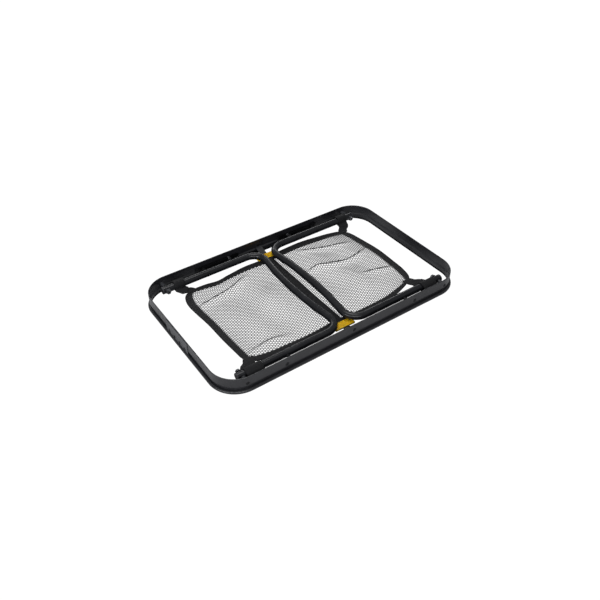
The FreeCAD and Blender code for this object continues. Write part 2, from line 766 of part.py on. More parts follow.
for obj in doc.Objects:
    if "Invalid" in obj.State or "Error" in obj.State:
        raise RuntimeError(f"{obj.Label} did not build: {obj.State}")
for obj in nodes:
    if obj.Shape.isNull() or not obj.Shape.isValid() or obj.Shape.Volume <= 0:
        raise RuntimeError(f"{obj.Label} has no valid solid")

os.makedirs("parts", exist_ok=True)
for obj in nodes:
    obj.Shape.exportStep(f"parts/{obj.Label}.step")
print(len(nodes), "sub-parts written")
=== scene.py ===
import math

import bmesh
import bpy
import numpy as np
from mathutils import Matrix, Vector


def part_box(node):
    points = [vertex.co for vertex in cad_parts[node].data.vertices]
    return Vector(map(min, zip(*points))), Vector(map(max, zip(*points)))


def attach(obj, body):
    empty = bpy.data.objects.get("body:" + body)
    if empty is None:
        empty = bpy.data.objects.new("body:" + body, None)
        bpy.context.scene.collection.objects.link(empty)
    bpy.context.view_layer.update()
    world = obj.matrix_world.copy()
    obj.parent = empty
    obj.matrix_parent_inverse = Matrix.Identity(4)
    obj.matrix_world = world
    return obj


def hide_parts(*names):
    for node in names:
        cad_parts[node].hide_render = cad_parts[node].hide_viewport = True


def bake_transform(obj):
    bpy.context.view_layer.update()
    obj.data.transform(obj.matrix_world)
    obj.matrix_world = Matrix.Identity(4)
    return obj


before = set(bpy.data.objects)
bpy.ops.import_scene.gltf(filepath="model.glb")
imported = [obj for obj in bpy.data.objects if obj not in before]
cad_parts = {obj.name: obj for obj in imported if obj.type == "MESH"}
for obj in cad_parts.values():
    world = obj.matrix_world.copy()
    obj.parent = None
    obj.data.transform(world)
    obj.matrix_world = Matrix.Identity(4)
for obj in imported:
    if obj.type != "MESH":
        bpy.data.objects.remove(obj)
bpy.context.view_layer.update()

scene = bpy.context.scene
scene.view_settings.view_transform = "Standard"
MM = 0.001
SIDES = {"left": -1, "right": 1}
RAILS = {"front": -1, "rear": 1}

# ---------------------------------------------------------------- camera
# The rack lies legs up on the floor. It is seen from its front left corner, from well above,
# with a normal lens.
VIEW_TURN = math.radians(-34.6143)
VIEW_RISE = math.radians(39.7691)
VIEW_ROLL = math.radians(-0.5336)
VIEW_DISTANCE = 1.69378
VIEW_SHIFT = (0.00595, 0.02114)
LENS = 39.431

back = Vector((math.sin(VIEW_TURN) * math.cos(VIEW_RISE), -math.cos(VIEW_TURN) * math.cos(VIEW_RISE),
               math.sin(VIEW_RISE)))
level_right = Vector((0, 0, 1)).cross(back).normalized()
level_up = back.cross(level_right)
view_right = math.cos(VIEW_ROLL) * level_right + math.sin(VIEW_ROLL) * level_up
view_up = math.cos(VIEW_ROLL) * level_up - math.sin(VIEW_ROLL) * level_right
aim = -(VIEW_SHIFT[0] * level_right + VIEW_SHIFT[1] * level_up)
bpy.ops.object.camera_add(location=aim + VIEW_DISTANCE * back)
camera = bpy.context.object
camera.rotation_mode = "QUATERNION"
camera.rotation_quaternion = Matrix((view_right, view_up, back)).transposed().to_quaternion()
camera.data.lens = LENS
camera.data.sensor_width = 36.0
camera.data.clip_start = 0.05
camera.data.clip_end = 60.0
scene.camera = camera

# ---------------------------------------------------------------- floor and light
# A plain white floor under a wide, even studio light: a pale room all round, a soft box
# overhead and long strips that draw the thin highlights along the tubes. The floor shows evenly
# white to the camera. For light thrown back at the rack its colour is pale all round and painted
# dark inside the rim, a painted shade, so that hardly any light comes back from there.
ROOM_LIGHT = 0.28
FLOOR_GLOW = 1.05
FLOOR_LIT = (0.66, 0.66, 0.67, 1)
# painted shade: the floor's colour inside the rim, where the rack would shade it
FLOOR_SHADE = (0.03, 0.03, 0.032, 1)
SHADE_REACH_X = 0.36
SHADE_REACH_Y = 0.23

bpy.ops.mesh.primitive_plane_add(size=24.0, location=(0, 0, -0.0004))
floor = bpy.context.object
floor.name = "studio_floor"
floor_paint = bpy.data.materials.new("studio_floor")
floor_paint.use_nodes = True
tree = floor_paint.node_tree
tree.nodes.clear()
floor_out = tree.nodes.new("ShaderNodeOutputMaterial")
floor_mix = tree.nodes.new("ShaderNodeMixShader")
floor_matt = tree.nodes.new("ShaderNodeBsdfDiffuse")
floor_place = tree.nodes.new("ShaderNodeTexCoord")
floor_scale = tree.nodes.new("ShaderNodeMapping")
floor_scale.inputs["Scale"].default_value = (1 / SHADE_REACH_X, 1 / SHADE_REACH_Y, 0.0)
floor_reach = tree.nodes.new("ShaderNodeVectorMath")
floor_reach.operation = "LENGTH"
# Painted shade: the floor's colour for bounced light is dark inside the rim and pale outside it.
floor_painted_shade = tree.nodes.new("ShaderNodeValToRGB")
floor_painted_shade.color_ramp.elements[0].position = 0.86
floor_painted_shade.color_ramp.elements[0].color = FLOOR_SHADE
floor_painted_shade.color_ramp.elements[1].position = 1.0
floor_painted_shade.color_ramp.elements[1].color = FLOOR_LIT
tree.links.new(floor_place.outputs["Object"], floor_scale.inputs["Vector"])
tree.links.new(floor_scale.outputs["Vector"], floor_reach.inputs[0])
tree.links.new(floor_reach.outputs["Value"], floor_painted_shade.inputs["Fac"])
tree.links.new(floor_painted_shade.outputs["Color"], floor_matt.inputs["Color"])
floor_lit = tree.nodes.new("ShaderNodeEmission")
floor_lit.inputs["Strength"].default_value = FLOOR_GLOW
floor_rays = tree.nodes.new("ShaderNodeLightPath")
tree.links.new(floor_rays.outputs["Is Camera Ray"], floor_mix.inputs["Fac"])
tree.links.new(floor_matt.outputs[0], floor_mix.inputs[1])
tree.links.new(floor_lit.outputs[0], floor_mix.inputs[2])
tree.links.new(floor_mix.outputs[0], floor_out.inputs["Surface"])
floor.data.materials.append(floor_paint)

scene.world = bpy.data.worlds.new("studio_room")
scene.world.use_nodes = True
room = scene.world.node_tree.nodes["Background"]
room.inputs["Color"].default_value = (0.97, 0.98, 1.0, 1)
room.inputs["Strength"].default_value = ROOM_LIGHT


def soft_box(name, place, width, depth, watts):
    """A rectangular lamp in metres and watts, turned to face the middle of the rack."""
    bpy.ops.object.light_add(type="AREA", location=place)
    lamp = bpy.context.object
    lamp.name = name
    lamp.data.shape = "RECTANGLE"
    lamp.data.size = width
    lamp.data.size_y = depth
    lamp.data.energy = watts
    lamp.rotation_euler = (-Vector(place)).to_track_quat("-Z", "Y").to_euler()


soft_box("overhead_box", (0.0, 0.3, 2.2), 1.1, 1.1, 15.0)
soft_box("front_strip", (-0.9, -1.7, 1.1), 1.8, 0.5, 16.0)
soft_box("left_strip", (-2.0, -0.5, 0.8), 1.2, 0.4, 13.0)
soft_box("rear_strip", (0.7, 1.9, 0.9), 2.0, 0.35, 8.0)

# ---------------------------------------------------------------- rim and its joint plate
# The rim is steel strip, roll formed with a groove and a bead and bent to a rounded rectangle.
# It is stoved in black enamel, which has a fine orange peel and is rubbed thin along the top
# edge and under the bead. A flat plate, dulled by handling, is riveted over its butt joint.
ENAMEL_DEEP = (0.0085, 0.0088, 0.0112, 1)
ENAMEL_THIN = (0.0180, 0.0186, 0.0225, 1)
RUBBED_STEEL = (0.105, 0.108, 0.115, 1)
PLATE_DARK = (0.066, 0.068, 0.074, 1)
PLATE_LIGHT = (0.118, 0.121, 0.129, 1)


class Finish:
    """A material and the few node steps that every finish here is mixed from."""

    def __init__(self, name, roughness, metallic=0.0, **sockets):
        self.material = bpy.data.materials.new(name)
        self.material.use_nodes = True
        self.tree = self.material.node_tree
        self.shader = self.tree.nodes["Principled BSDF"]
        self.shader.inputs["Roughness"].default_value = roughness
        self.shader.inputs["Metallic"].default_value = metallic
        for socket, value in sockets.items():
            self.shader.inputs[socket.replace("_", " ")].default_value = value
        self.height = None

    def step(self, kind, links=(), **values):
        made = self.tree.nodes.new(kind)
        for key, value in values.items():
            if hasattr(made, key):
                setattr(made, key, value)
            else:
                made.inputs[key.replace("_", " ")].default_value = value
        for socket, source in dict(links).items():
            self.tree.links.new(source, made.inputs[socket])
        return made

    def place(self, kind="Object", stretch=(1, 1, 1), turn=(0, 0, 0)):
        """Object coordinates, or the piece's own UV map, scaled and turned by a Mapping node."""
        read = self.tree.nodes.new("ShaderNodeTexCoord")
        mapping = self.step("ShaderNodeMapping", {"Vector": read.outputs[kind]})
        mapping.inputs["Scale"].default_value = stretch
        mapping.inputs["Rotation"].default_value = turn
        return mapping.outputs["Vector"]

    def noise(self, where, scale, detail=3.0, rough=0.55):
        return self.step("ShaderNodeTexNoise", {"Vector": where}, Scale=scale, Detail=detail,
                         Roughness=rough).outputs["Fac"]

    def ramp(self, source, stops):
        made = self.step("ShaderNodeValToRGB", {"Fac": source})
        points = made.color_ramp.elements
        points[0].position, points[0].color = stops[0]
        points[1].position, points[1].color = stops[-1]
        for position, colour in stops[1:-1]:
            points.new(position).color = colour
        return made.outputs["Color"]

    def mix(self, share, first, second):
        made = self.step("ShaderNodeMix", data_type="RGBA")
        self.tree.links.new(share, made.inputs[0])
        for socket, value in ((made.inputs[6], first), (made.inputs[7], second)):
            if isinstance(value, tuple):
                socket.default_value = value
            else:
                self.tree.links.new(value, socket)
        return made.outputs[2]

    def maths(self, what, first, second):
        made = self.step("ShaderNodeMath", operation=what)
        for socket, value in ((made.inputs[0], first), (made.inputs[1], second)):
            if isinstance(value, (int, float)):
                socket.default_value = value
            else:
                self.tree.links.new(value, socket)
        return made.outputs[0]

    def band(self, source, low, high):
        """0 below low, 1 above high, and a straight run between."""
        made = self.step("ShaderNodeMapRange", {"Value": source})
        made.inputs["From Min"].default_value = low
        made.inputs["From Max"].default_value = high
        return made.outputs["Result"]

    def colour(self, source):
        self.tree.links.new(source, self.shader.inputs["Base Color"])

    def gloss(self, source, low, high):
        """Roughness that wanders between two values."""
        made = self.step("ShaderNodeMapRange", {"Value": source})
        made.inputs["To Min"].default_value = low
        made.inputs["To Max"].default_value = high
        self.tree.links.new(made.outputs["Result"], self.shader.inputs["Roughness"])

    def relief(self, source, depth, strength=1.0):
        made = self.step("ShaderNodeBump", {"Height": source}, Strength=strength, Distance=depth)
        if self.height is not None:
            self.tree.links.new(self.height, made.inputs["Normal"])
        self.height = made.outputs["Normal"]
        self.tree.links.new(self.height, self.shader.inputs["Normal"])


def dress(nodes, finish):
    """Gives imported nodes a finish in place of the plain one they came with."""
    for name in nodes:
        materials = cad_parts[name].data.materials
        materials.clear()
        materials.append(finish.material)


rim_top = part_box("rim")[1].z
enamel = Finish("black_enamel", 0.36, Coat_Weight=0.25, Coat_Roughness=0.22)
place = enamel.place()
cloud = enamel.noise(place, 26.0, 4.0)
height = enamel.step("ShaderNodeSeparateXYZ", {"Vector": place}).outputs["Z"]
top_edge = enamel.band(height, rim_top - 0.9 * MM, rim_top - 0.1 * MM)
foot_edge = enamel.band(height, 1.1 * MM, 0.1 * MM)
worn = enamel.maths("MULTIPLY", enamel.maths("MAXIMUM", top_edge, foot_edge),
                    enamel.band(enamel.noise(place, 85.0, 6.0, 0.7), 0.46, 0.62))
scratch_place = enamel.place(stretch=(14, 14, 420), turn=(0.3, 0.2, 0.5))
scratches = enamel.band(enamel.noise(scratch_place, 1.6, 2.0), 0.69, 0.73)
coat = enamel.ramp(cloud, [(0.30, ENAMEL_DEEP), (0.72, ENAMEL_THIN)])
coat = enamel.mix(enamel.maths("MULTIPLY", scratches, 0.35), coat, RUBBED_STEEL)
enamel.colour(enamel.mix(enamel.maths("MULTIPLY", worn, 0.6), coat, RUBBED_STEEL))
enamel.gloss(enamel.noise(place, 60.0, 5.0), 0.30, 0.46)
enamel.relief(enamel.noise(place, 650.0, 2.0), 0.05 * MM, 0.55)
enamel.relief(scratches, 0.02 * MM, -0.5)
dress(["rim"], enamel)

plate_finish = Finish("joint_plate_paint", 0.42, metallic=0.35)
place = plate_finish.place()
brushed = plate_finish.noise(plate_finish.place(stretch=(1, 1, 26)), 34.0, 5.0, 0.65)
plate_finish.colour(plate_finish.ramp(brushed, [(0.32, PLATE_DARK), (0.70, PLATE_LIGHT)]))
plate_finish.gloss(plate_finish.noise(place, 70.0, 4.0), 0.34, 0.52)
plate_finish.relief(brushed, 0.04 * MM, 0.5)
plate_finish.relief(plate_finish.noise(place, 700.0, 2.0), 0.03 * MM, 0.4)
dress(["joint_plate"], plate_finish)

# ---------------------------------------------------------------- rivets and pivot bolts
# Oval steel rivets and pivot bolts, blacked before they were closed, so that the crowns have
# small pale freckles where the setting tool pressed through the finish.
BLACKED = (0.0120, 0.0122, 0.0140, 1)
BLACKED_THIN = (0.060, 0.061, 0.066, 1)

blacked = Finish("blacked_rivet", 0.38, metallic=0.6)
place = blacked.place()
freckles = blacked.noise(place, 900.0, 3.0, 0.7)
blacked.colour(blacked.ramp(freckles, [(0.60, BLACKED), (0.74, BLACKED_THIN)]))
blacked.gloss(blacked.noise(place, 400.0, 3.0), 0.26, 0.50)
blacked.relief(freckles, 0.06 * MM, 0.6)
dress(["joint_rivets", "tab_rivets", "pivot_bolts", "rail_rivets"], blacked)

# ---------------------------------------------------------------- legs
# Each leg is one length of 19 mm steel tube bent to a U and enamelled. Drawing left faint lines
# along it, the gloss wanders a little, and a few small chips show the steel.
TUBE_DEEP = (0.0060, 0.0064, 0.0080, 1)
TUBE_THIN = (0.0140, 0.0148, 0.0175, 1)

tube_paint = Finish("black_tube_enamel", 0.32, Coat_Weight=0.12, Coat_Roughness=0.14,
                    Specular_IOR_Level=0.34)
place = tube_paint.place()
drawn = tube_paint.noise(tube_paint.place(stretch=(0.6, 34, 34)), 12.0, 4.0, 0.6)
cloud = tube_paint.noise(place, 30.0, 4.0)
shade = tube_paint.maths("ADD", tube_paint.maths("MULTIPLY", drawn, 0.45),
                         tube_paint.maths("MULTIPLY", cloud, 0.55))
chips = tube_paint.band(tube_paint.noise(place, 210.0, 5.0, 0.75), 0.735, 0.76)
coat = tube_paint.ramp(shade, [(0.35, TUBE_DEEP), (0.66, TUBE_THIN)])
tube_paint.colour(tube_paint.mix(tube_paint.maths("MULTIPLY", chips, 0.5), coat, RUBBED_STEEL))
tube_paint.gloss(cloud, 0.20, 0.34)
tube_paint.relief(drawn, 0.05 * MM, 0.3)
tube_paint.relief(tube_paint.noise(place, 620.0, 2.0), 0.05 * MM, 0.45)
dress(["left_leg_tube", "right_leg_tube"], tube_paint)

# ---------------------------------------------------------------- plugs in the tube ends
# Moulded plugs of dark grey plastic are pushed into the open ends of the tubes. Their faces
# have the fine spark-eroded grain of the mould.
PLUG_DARK = (0.022, 0.023, 0.027, 1)
PLUG_LIGHT = (0.045, 0.047, 0.053, 1)

plug_plastic = Finish("plug_plastic", 0.48, Specular_IOR_Level=0.45)
place = plug_plastic.place()
plug_plastic.colour(plug_plastic.ramp(plug_plastic.noise(place, 130.0, 5.0),
                                      [(0.32, PLUG_DARK), (0.68, PLUG_LIGHT)]))
plug_plastic.gloss(plug_plastic.noise(place, 300.0, 3.0), 0.40, 0.58)
plug_plastic.relief(plug_plastic.noise(place, 1500.0, 2.0), 0.06 * MM, 0.7)
dress(["left_leg_plugs", "right_leg_plugs"], plug_plastic)

# ---------------------------------------------------------------- nuts, washers and spacers
# Dark passivated zinc on steel, mottled: hexagon nuts and plain washers on the pivot bolts.
# The spacers between rail and arm are black plastic, like the plugs.
ZINC_DULL = (0.075, 0.077, 0.083, 1)
ZINC_BRIGHT = (0.36, 0.37, 0.39, 1)

zinc = Finish("zinc_plate", 0.30, metallic=1.0)
place = zinc.place()
crystals = zinc.step("ShaderNodeTexVoronoi", {"Vector": place}, Scale=420.0).outputs["Distance"]
mottle = zinc.noise(place, 190.0, 4.0)
zinc.colour(zinc.ramp(mottle, [(0.32, ZINC_DULL), (0.64, ZINC_BRIGHT)]))
zinc.gloss(crystals, 0.20, 0.44)
zinc.relief(crystals, 0.04 * MM, 0.35)
zinc.relief(zinc.noise(place, 1200.0, 2.0), 0.02 * MM, 0.35)
dress(["pivot_washers", "pivot_nuts"], zinc)
dress(["pivot_spacers"], plug_plastic)

# ---------------------------------------------------------------- folding braces
# Each brace is two flat steel links with round ends, blanked, blacked and joined at a knuckle
# rivet. The black has worn pale in streaks, and turning has polished the knuckle rivets.
LINK_BLACK = (0.0200, 0.0205, 0.0230, 1)
LINK_WORN = (0.150, 0.153, 0.160, 1)
KNUCKLE_DULL = (0.30, 0.31, 0.33, 1)
KNUCKLE_BRIGHT = (0.74, 0.76, 0.79, 1)

link_steel = Finish("brace_steel", 0.34, metallic=0.85)
place = link_steel.place()
rolled = link_steel.noise(link_steel.place(stretch=(1, 1, 9)), 60.0, 5.0, 0.65)
link_steel.colour(link_steel.ramp(rolled, [(0.62, LINK_BLACK), (0.80, LINK_WORN)]))
link_steel.gloss(link_steel.noise(place, 160.0, 4.0), 0.26, 0.46)
link_steel.relief(rolled, 0.04 * MM, 0.4)
corners = [f"{side}_{rail}" for side in SIDES for rail in RAILS]
dress([f"rail_link_{corner}" for corner in corners], link_steel)
dress([f"leg_link_{corner}" for corner in corners], link_steel)

rubbed = Finish("rubbed_rivet", 0.24, metallic=1.0)
place = rubbed.place()
rubbed.colour(rubbed.ramp(rubbed.noise(place, 260.0, 4.0),
                          [(0.34, KNUCKLE_DULL), (0.60, KNUCKLE_BRIGHT)]))
rubbed.gloss(rubbed.noise(place, 520.0, 3.0), 0.18, 0.36)
rubbed.relief(rubbed.noise(rubbed.place(stretch=(1, 1, 6)), 900.0, 3.0), 0.03 * MM, 0.5)
dress([f"knuckle_outer_{corner}" for corner in corners], rubbed)
dress([f"knuckle_inner_{corner}" for corner in corners], rubbed)
dress(["left_arm_rivets", "right_arm_rivets"], blacked)

# ---------------------------------------------------------------- net panels
# Two panels of warp-knitted black net with holes of about 4 mm, cut as rectangles and pulled
# out by their corners, so that they lie slack inside the folded legs with a few soft creases.
# Each outline is four edges, in millimetres, from the middle band outwards.
YARN_DARK = (0.0120, 0.0125, 0.0150, 1)
YARN_LIGHT = (0.0360, 0.0370, 0.0420, 1)
HOLE_PITCH = 6.2
YARN_WIDTH = 2.05
NET_MARGIN = 3.0
NET_SLACK = 2.6
CREASE_FADE = 9.0
LINE_POINTS = 200
CREASE_POINTS = 60
NET_Z = (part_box("net_panel_left")[0].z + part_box("net_panel_left")[1].z) / 2 / MM
OUTLINES = {
    "right": {
        "near": [(10, -168), (67, -171), (134, -168), (192, -156), (243, -138)],
        "end": [(243, -138), (257, -121), (264, -95), (268, -57), (270, 1), (265, 65), (259, 111),
                (249, 147)],
        "far": [(10, 168), (76, 173), (130, 171), (181, 165), (219, 156), (249, 147)],
    },
    "left": {
        "near": [(-13, -166), (-70, -171), (-123, -170), (-180, -167), (-225, -159), (-258, -145)],
        "end": [(-258, -145), (-263, -68), (-265, 5), (-270, 67), (-271, 112), (-261, 143), (-240, 160)],
        "far": [(-13, 163), (-38, 164), (-82, 164), (-126, 159), (-161, 152), (-197, 158), (-240, 160)],
    },
}
# Creases: the line of the crest, its height, and how wide it is on the front and back slopes.
CREASES = {
    "right": [
        ([(48, 47), (88, 55), (109, 46), (138, 37), (169, 32), (203, 33), (240, 42)], 6.5, 11.0, 3.6),
        ([(84, 141), (119, 125), (158, 112), (196, 101), (222, 94)], 4.0, 10.0, 3.4),
        ([(168, -40), (207, -49), (250, -65)], 4.6, 12.0, 3.6),
        ([(110, -120), (150, -66), (166, 0)], 3.0, 24.0, 22.0),
    ],
    "left": [
        ([(-244, 88), (-200, 95), (-161, 101), (-135, 110), (-96, 128)], 7.5, 12.0, 3.6),
        ([(-235, -125), (-195, -118), (-167, -117), (-126, -127)], 4.0, 13.0, 5.0),
        ([(-60, 60), (-95, 10), (-110, -60)], 3.0, 26.0, 24.0),
    ],
}


def run_along(line):
    """How far along a line of points each point is."""
    return np.r_[0, np.cumsum(np.linalg.norm(np.diff(line, axis=0), axis=1))]


def smooth_line(points, count):
    """Points spread evenly along a soft curve through a few given ones."""
    given = np.array(points, float)
    padded = np.vstack([2 * given[0] - given[1], given, 2 * given[-1] - given[-2]])
    curve = []
    for i in range(len(given) - 1):
        a, b, c, e = padded[i:i + 4]
        for t in np.linspace(0, 1, 24, endpoint=False):
            curve.append(0.5 * (2 * b + (c - a) * t + (2 * a - 5 * b + 4 * c - e) * t * t
                                + (3 * b - a - 3 * c + e) * t ** 3))
    curve.append(given[-1])
    curve = np.array(curve)
    run = run_along(curve)
    want = np.linspace(0, run[-1], count)
    return np.stack([np.interp(want, run, curve[:, k]) for k in range(curve.shape[1])], 1)


class NetCloth:
    """One panel as a surface: flat cloth (across, along) in millimetres to its place in the rack."""

    def __init__(self, side):
        lines = OUTLINES[side]
        self.near = smooth_line(lines["near"], LINE_POINTS)
        self.far = smooth_line(lines["far"], LINE_POINTS)
        self.end = smooth_line(lines["end"], LINE_POINTS)
        self.band = smooth_line([lines["near"][0], lines["far"][0]], LINE_POINTS)
        self.marks = np.linspace(0, 1, LINE_POINTS)
        self.width = 0.5 * (self.length_of(self.near) + self.length_of(self.far))
        self.length = 0.5 * (self.length_of(self.end) + self.length_of(self.band))
        self.creases = [(smooth_line(line, CREASE_POINTS), *shape) for line, *shape in CREASES[side]]
        self.sign = SIDES[side]

    @staticmethod
    def length_of(line):
        return float(np.linalg.norm(np.diff(line, axis=0), axis=1).sum())

    def edge(self, line, share):
        return np.stack([np.interp(share, self.marks, line[:, k]) for k in (0, 1)], -1)

    def plan(self, across, along):
        s = np.asarray(across, float) / self.width
        t = np.asarray(along, float) / self.length
        s1, t1 = s[..., None], t[..., None]
        sides = ((1 - t1) * self.edge(self.near, s) + t1 * self.edge(self.far, s)
                 + (1 - s1) * self.edge(self.band, t) + s1 * self.edge(self.end, t))
        corner_share = ((1 - s1) * (1 - t1) * self.near[0] + s1 * (1 - t1) * self.near[-1]
                        + (1 - s1) * t1 * self.far[0] + s1 * t1 * self.far[-1])
        return sides - corner_share

    def rise(self, across, along, xy):
        """Height of the cloth: a slack middle, long low waves and the creases."""
        s = np.clip(np.asarray(across, float) / self.width, 0, 1)
        t = np.clip(np.asarray(along, float) / self.length, 0, 1)
        slack = np.clip(np.sin(np.pi * s) * np.sin(np.pi * t), 0, 1) ** 0.6
        x, y = xy[..., 0], xy[..., 1]
        z = NET_Z - NET_SLACK * slack
        z = z + 1.1 * slack * np.sin(x / 19.0 + y / 47.0 + self.sign)
        z = z + 0.8 * np.sin(y / 23.0 - x / 61.0) * slack
        edge_wave = 0.7 * np.sin(x / 17.0 + self.sign) * np.sin(np.pi * s)
        z = z + edge_wave + 0.8 * np.sin(y / 21.0) * s * np.sin(np.pi * t)
        for line, tall, front, rear in self.creases:
            gap = xy[..., None, :] - line
            reach = np.linalg.norm(gap, axis=-1)
            nearest = np.argmin(reach, -1)
            step = np.gradient(line, axis=0)
            way = step / np.linalg.norm(step, axis=1, keepdims=True)
            if way[:, 0].sum() < 0:
                way = -way
            left_of = np.stack([-way[:, 1], way[:, 0]], 1)
            offset = np.take_along_axis(gap, nearest[..., None, None], -2)[..., 0, :]
            beside = (offset * left_of[nearest]).sum(-1)
            beyond = np.abs((offset * way[nearest]).sum(-1))
            wide = np.where(beside > 0, rear, front)
            taper = np.sin(np.pi * np.clip(nearest / (len(line) - 1.0), 0.02, 0.98)) ** 0.55
            z = z + tall * taper * np.exp(-(beside / wide) ** 2) * np.exp(-(beyond / CREASE_FADE) ** 2)
        return z

    def at(self, across, along, lift=0.0):
        xy = self.plan(across, along)
        z = self.rise(across, along, xy) + lift
        return np.concatenate([xy, np.asarray(z)[..., None]], -1)


def new_piece(name, points, faces, uvs=None):
    """A smooth mesh piece from points in millimetres; uvs are one pair for each point."""
    mesh = bpy.data.meshes.new(name)
    mesh.from_pydata((np.asarray(points) * MM).tolist(), [], [list(map(int, f)) for f in faces])
    if uvs is not None:
        layer = mesh.uv_layers.new(name="cloth")
        corner_points = np.zeros(len(mesh.loops), int)
        mesh.loops.foreach_get("vertex_index", corner_points)
        layer.data.foreach_set("uv", (np.asarray(uvs) * MM)[corner_points].astype(np.float32).ravel())
    mesh.polygons.foreach_set("use_smooth", [True] * len(mesh.polygons))
    mesh.update()
    made = bpy.data.objects.new(name, mesh)
    scene.collection.objects.link(made)
    return made


def finish_modifiers(piece):
    """Applies a piece's modifiers in order."""
    bpy.ops.object.select_all(action="DESELECT")
    bpy.context.view_layer.objects.active = piece
    piece.select_set(True)
    for modifier in list(piece.modifiers):
        bpy.ops.object.modifier_apply(modifier=modifier.name)
    piece.select_set(False)


net_yarn = Finish("net_yarn", 0.55, Sheen_Weight=0.1, Sheen_Roughness=0.4, Specular_IOR_Level=0.3)
place = net_yarn.place()
twist = net_yarn.noise(net_yarn.place(stretch=(1, 1, 2)), 1500.0, 2.0, 0.6)
net_yarn.colour(net_yarn.ramp(twist, [(0.34, YARN_DARK), (0.70, YARN_LIGHT)]))
net_yarn.gloss(net_yarn.noise(place, 220.0, 3.0), 0.42, 0.66)
net_yarn.relief(twist, 0.12 * MM, 0.8)

cloths = {side: NetCloth(side) for side in SIDES}
for side, cloth in cloths.items():
    half = HOLE_PITCH / 2
    run = HOLE_PITCH / math.sqrt(3)
    columns = int((cloth.width - 2 * NET_MARGIN) / (1.5 * run))
    rows = int((cloth.length - 2 * NET_MARGIN) / HOLE_PITCH)
    start_x = (cloth.width - columns * 1.5 * run) / 2 + run / 2
    start_y = (cloth.length - rows * HOLE_PITCH) / 2 + half / 2
    numbers, flat, faces = {}, [], []
    for column in range(columns):
        for row in range(rows - column % 2):
            cx = start_x + column * 1.5 * run
            cy = start_y + row * HOLE_PITCH + half * (column % 2)
            face = []
            for k in range(6):
                angle = math.radians(60 * k)
                px, py = cx + run * math.cos(angle), cy + run * math.sin(angle)
                key = (round(px, 2), round(py, 2))
                if key not in numbers:
                    numbers[key] = len(flat)
                    flat.append((px, py))
                face.append(numbers[key])
            faces.append(face)
    flat = np.array(flat)
    points = cloth.at(flat[:, 0], flat[:, 1])
    if SIDES[side] < 0:
        faces = [face[::-1] for face in faces]
    panel = new_piece(f"net_mesh_{side}", points, faces)
    yarn = panel.modifiers.new("yarn", "WIREFRAME")
    yarn.thickness = YARN_WIDTH * MM
    yarn.use_even_offset = False
    yarn.use_boundary = True
    finish_modifiers(panel)
    panel.data.polygons.foreach_set("use_smooth", [True] * len(panel.data.polygons))
    panel.data.materials.append(net_yarn.material)
    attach(panel, "frame")
    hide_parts(f"net_panel_{side}")

# ---------------------------------------------------------------- binding round the net
# A black twill tape is folded over three edges of each panel and sewn down with one row of
# lock stitches. It waves slightly, because the sewing drew the slack net together.
TAPE_DARK = (0.0035, 0.0036, 0.0043, 1)
TAPE_LIGHT = (0.0130, 0.0133, 0.0155, 1)
TAPE_WIDTH = 19.0
TAPE_THICK = 2.2
TAPE_CORNER = 13.0
TAPE_STEP = 2.6
TURN_STEPS = 8
STITCH_PITCH = 4.2
STITCH_LENGTH = 3.0
STITCH_THICK = 0.55
TAPE_STITCH_OFFSET = 6.6
THREAD_DARK = (0.020, 0.0205, 0.023, 1)
THREAD_LIGHT = (0.070, 0.071, 0.076, 1)


def woven(name, dark, light, rib, twill, roughness):
    """Narrow woven webbing: ribs across it and a finer slanting thread, on the strip's own UV."""
    made = Finish(name, roughness, Sheen_Weight=0.05, Sheen_Roughness=0.5, Specular_IOR_Level=0.22)
    across = made.step("ShaderNodeTexWave", {"Vector": made.place("UV")}, Scale=0.314 / rib,
                       Distortion=0.6, Detail=1.0)
    slant = made.step("ShaderNodeTexWave", {"Vector": made.place("UV", turn=(0, 0, 0.96))},
                      Scale=0.314 / twill, Distortion=0.4, Detail=1.0)
    weave = made.maths("MULTIPLY", across.outputs["Fac"], slant.outputs["Fac"])
    fuzz = made.noise(made.place(), 900.0, 3.0)
    tone = made.maths("ADD", made.maths("MULTIPLY", weave, 0.7), made.maths("MULTIPLY", fuzz, 0.4))
    made.colour(made.ramp(tone, [(0.10, dark), (0.80, light)]))
    made.gloss(fuzz, roughness - 0.08, roughness + 0.14)
    made.relief(weave, 0.22 * MM, 0.8)
    made.relief(fuzz, 0.08 * MM, 0.5)
    return made


def strip_section(width, thick):
    """Outline of a webbing strip cut across: flat faces and rounded edges."""
    half, deep = width / 2, thick / 2
    upper = [(-half, 0.0), (-half + 0.25 * deep, 0.62 * deep), (-half + 0.9 * deep, 0.95 * deep),
             (-half * 0.5, deep), (0.0, deep), (half * 0.5, deep),
             (half - 0.9 * deep, 0.95 * deep), (half - 0.25 * deep, 0.62 * deep), (half, 0.0)]
    return upper + [(a, -b) for a, b in upper[-2:0:-1]]


def strip_faces(stations, around):
    """Quads between stations, and a cap at each end."""
    faces = []
    for i in range(stations - 1):
        for k in range(around):
            a, b = i * around + k, i * around + (k + 1) % around
            faces.append((a, a + around, b + around, b))
    faces.append(tuple(range(around)))
    faces.append(tuple((stations - 1) * around + k for k in range(around))[::-1])
    return faces


def strip_uvs(run, section):
    """Cloth coordinates of a strip: along its run, and round its section."""
    girth = run_along(np.array(section))
    return np.stack([np.repeat(run, len(section)), np.tile(girth, len(run))], 1)


def outward(piece):
    """Turns a closed piece's faces to point out."""
    work = bmesh.new()
    work.from_mesh(piece.data)
    bmesh.ops.recalc_face_normals(work, faces=work.faces)
    work.to_mesh(piece.data)
    work.free()


